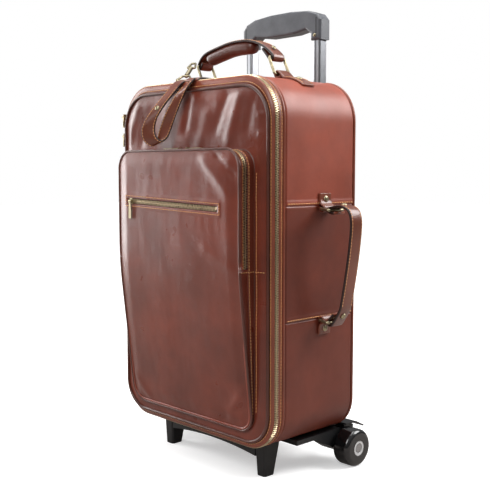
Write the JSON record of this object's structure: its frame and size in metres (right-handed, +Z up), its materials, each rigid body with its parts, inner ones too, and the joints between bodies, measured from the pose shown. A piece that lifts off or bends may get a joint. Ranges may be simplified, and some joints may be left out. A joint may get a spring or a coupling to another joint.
{
  "type": "leather rolling flight case",
  "caption": "Upright leather cabin case with a zipped lid and front pocket, carry and side handles, a telescopic trolley handle, front feet and rear wheels.",
  "frame": {"origin": "bottom centre of the whole object's bounding box, on the floor with the case standing upright", "axes": "+Z up; -Y is the front with the lid and pocket; +X is the side that carries the side handle"},
  "size_m": [0.401, 0.2504, 0.68],
  "materials": {
    "leather_front": "glossy dark cognac leather, pebbled grain",
    "leather_side": "smooth red-brown leather, soft sheen",
    "leather_trim": "tan-brown leather strip with dark painted edges",
    "zip_brass": "aged brass teeth on a dark brown tape",
    "brass": "aged brass, satin",
    "lining_fabric": "plain woven lining",
    "board": "stiffener board",
    "base_plastic": "charcoal moulded plastic",
    "axle_steel": "zinc-plated steel",
    "tube_metal": "polished grey tube",
    "grip_plastic": "satin grey moulded plastic",
    "button_plastic": "fine-textured grey plastic",
    "tyre": "glossy black polyurethane",
    "hub_plastic": "white plastic"
  },
  "bodies": {
    "case_body": {"upper_wrap": "leather_side", "side_patches": "leather_side", "lower_wrap": "leather_side", "back_panel": "leather_side", "body_piping": "leather_trim", "body_zip_band": "leather_trim", "main_zip_body_half": "zip_brass", "body_lining": "lining_fabric", "stiffener_boards": "board", "hinge_strip": "leather_trim", "foot_base": "base_plastic", "wheel_brackets": "base_plastic", "axle_bolts": "axle_steel", "screws": "axle_steel", "trolley_sleeves": "tube_metal", "trolley_brackets": "base_plastic", "trolley_cover": "leather_side", "carry_anchors": "leather_trim", "side_anchors": "leather_trim", "rivets": "brass"},
    "lid": {"lid_face": "leather_front", "lid_band": "leather_trim", "lid_piping": "leather_trim", "main_zip_lid_half": "zip_brass", "lid_lining": "lining_fabric", "pocket_face_lower": "leather_front", "pocket_gusset_back": "leather_front", "pocket_zip_lid_half": "zip_brass"},
    "pocket_flap": {"pocket_face_upper": "leather_front", "pocket_piping": "leather_trim", "pocket_gusset_front": "leather_front", "pocket_zip_flap_half": "zip_brass", "small_pocket_zip": "zip_brass"},
    "main_slider_upper": {"main_slider_upper": "brass"},
    "main_pull_upper": {"main_pull_upper": "brass"},
    "main_slider_lower": {"main_slider_lower": "brass"},
    "main_pull_lower": {"main_pull_lower": "brass"},
    "pocket_slider_left": {"pocket_slider_left": "brass"},
    "pocket_pull_left": {"pocket_pull_left": "brass"},
    "pocket_slider_right": {"pocket_slider_right": "brass"},
    "pocket_pull_right": {"pocket_pull_right": "brass"},
    "small_slider": {"small_slider": "brass"},
    "small_pull": {"small_pull": "brass"},
    "trolley_mid": {"trolley_mid_tubes": "tube_metal"},
    "trolley_inner": {"trolley_inner_tubes": "tube_metal", "grip": "grip_plastic"},
    "grip_button": {"grip_button": "button_plastic"},
    "wheel_left": {"tyre_left": "tyre", "hub_left": "hub_plastic"},
    "wheel_right": {"tyre_right": "tyre", "hub_right": "hub_plastic"},
    "carry_ring_left": {"carry_ring_left": "brass"},
    "carry_ring_right": {"carry_ring_right": "brass"},
    "carry_handle": {"carry_strap": "leather_trim", "carry_roll": "leather_front"},
    "side_ring_upper": {"side_ring_upper": "brass"},
    "side_ring_lower": {"side_ring_lower": "brass"},
    "side_handle": {"side_strap": "leather_trim"},
    "bag_strap": {"bag_strap": "leather_trim", "snap_hook": "brass"}
  },
  "joints": [
    {"name": "lid_hinge", "type": "hinge", "parent": "case_body", "child": "lid", "pos_m": [-0.1945, -0.0753, 0.3], "axis": [0, 0, -1], "range_deg": [0, 150]},
    {"name": "pocket_flap_hinge", "type": "hinge", "parent": "lid", "child": "pocket_flap", "pos_m": [-0.0245, -0.1199, 0.303], "axis": [1, 0, 0], "range_deg": [0, 45]},
    {"name": "main_slider_upper_travel", "type": "slide", "parent": "lid", "child": "main_slider_upper", "axis": [0, 0, 1], "range_m": [-0.012, 0]},
    {"name": "main_pull_upper_lift", "type": "hinge", "parent": "main_slider_upper", "child": "main_pull_upper", "pos_m": [-0.19325, -0.083, 0.519], "axis": [0, -1, 0], "range_deg": [-80, 0]},
    {"name": "main_slider_lower_travel", "type": "slide", "parent": "lid", "child": "main_slider_lower", "axis": [0, 0, 1], "range_m": [-0.012, 0]},
    {"name": "main_pull_lower_lift", "type": "hinge", "parent": "main_slider_lower", "child": "main_pull_lower", "pos_m": [-0.19325, -0.083, 0.489], "axis": [0, -1, 0], "range_deg": [-80, 0]},
    {"name": "pocket_slider_left_travel", "type": "slide", "parent": "lid", "child": "pocket_slider_left", "axis": [1, 0, 0], "range_m": [-0.09, 0]},
    {"name": "pocket_pull_left_flip", "type": "hinge", "parent": "pocket_slider_left", "child": "pocket_pull_left", "pos_m": [-0.0305, -0.1048, 0.4663], "axis": [0, 1, 0], "range_deg": [0, 160]},
    {"name": "pocket_slider_right_travel", "type": "slide", "parent": "lid", "child": "pocket_slider_right", "axis": [1, 0, 0], "range_m": [0, 0.09]},
    {"name": "pocket_pull_right_flip", "type": "hinge", "parent": "pocket_slider_right", "child": "pocket_pull_right", "pos_m": [-0.0105, -0.1048, 0.4663], "axis": [0, 1, 0], "range_deg": [-160, 0]},
    {"name": "small_slider_travel", "type": "slide", "parent": "pocket_flap", "child": "small_slider", "axis": [0.9995, 0, -0.0332], "range_m": [0, 0.19]},
    {"name": "small_pull_lift", "type": "hinge", "parent": "small_slider", "child": "small_pull", "pos_m": [-0.1245, -0.12355, 0.38973], "axis": [1, 0, 0], "range_deg": [-100, 0]},
    {"name": "trolley_mid_slide", "type": "slide", "parent": "case_body", "child": "trolley_mid", "axis": [0, 0, 1], "range_m": [0, 0.2]},
    {"name": "trolley_inner_slide", "type": "slide", "parent": "trolley_mid", "child": "trolley_inner", "axis": [0, 0, 1], "range_m": [-0.065, 0.165]},
    {"name": "grip_button_press", "type": "slide", "parent": "trolley_inner", "child": "grip_button", "axis": [0, 0, -1], "range_m": [0, 0.004], "stiffness_N_per_m": 400},
    {"name": "wheel_left_spin", "type": "hinge", "parent": "case_body", "child": "wheel_left", "pos_m": [-0.1855, 0.0847, 0.0275], "axis": [1, 0, 0], "continuous": true},
    {"name": "wheel_right_spin", "type": "hinge", "parent": "case_body", "child": "wheel_right", "pos_m": [0.1365, 0.0847, 0.0275], "axis": [1, 0, 0], "continuous": true},
    {"name": "carry_ring_left_tilt", "type": "hinge", "parent": "case_body", "child": "carry_ring_left", "pos_m": [-0.0875, 0.0047, 0.571], "axis": [0, 1, 0], "range_deg": [-40, 90]},
    {"name": "carry_handle_pivot", "type": "hinge", "parent": "carry_ring_left", "child": "carry_handle", "pos_m": [-0.0995, 0.0047, 0.5965], "axis": [0, 1, 0], "range_deg": [-90, 40]},
    {"name": "carry_ring_right_tilt", "type": "hinge", "parent": "case_body", "child": "carry_ring_right", "pos_m": [0.0685, 0.0047, 0.571], "axis": [0, 1, 0], "range_deg": [-40, 90]},
    {"name": "side_ring_upper_tilt", "type": "hinge", "parent": "case_body", "child": "side_ring_upper", "pos_m": [0.1465, 0.0147, 0.383], "axis": [0, 1, 0], "range_deg": [-55, 55]},
    {"name": "side_handle_pivot", "type": "hinge", "parent": "side_ring_upper", "child": "side_handle", "pos_m": [0.1625, 0.0147, 0.381], "axis": [0, 1, 0], "range_deg": [-55, 55]},
    {"name": "side_ring_lower_tilt", "type": "hinge", "parent": "case_body", "child": "side_ring_lower", "pos_m": [0.1465, 0.0147, 0.228], "axis": [0, 1, 0], "range_deg": [-55, 55]},
    {"name": "bag_strap_lift", "type": "hinge", "parent": "case_body", "child": "bag_strap", "pos_m": [-0.0995, -0.0178, 0.6], "axis": [1, 0, 0], "range_deg": [-45, 0], "deforming": ["bag_strap"]}
  ],
  "couplings": [
    {"joint": "carry_handle_pivot", "follows": "carry_ring_left_tilt", "ratio": -1},
    {"joint": "carry_ring_right_tilt", "follows": "carry_ring_left_tilt", "ratio": 1},
    {"joint": "side_handle_pivot", "follows": "side_ring_upper_tilt", "ratio": -1},
    {"joint": "side_ring_lower_tilt", "follows": "side_ring_upper_tilt", "ratio": 1}
  ]
}
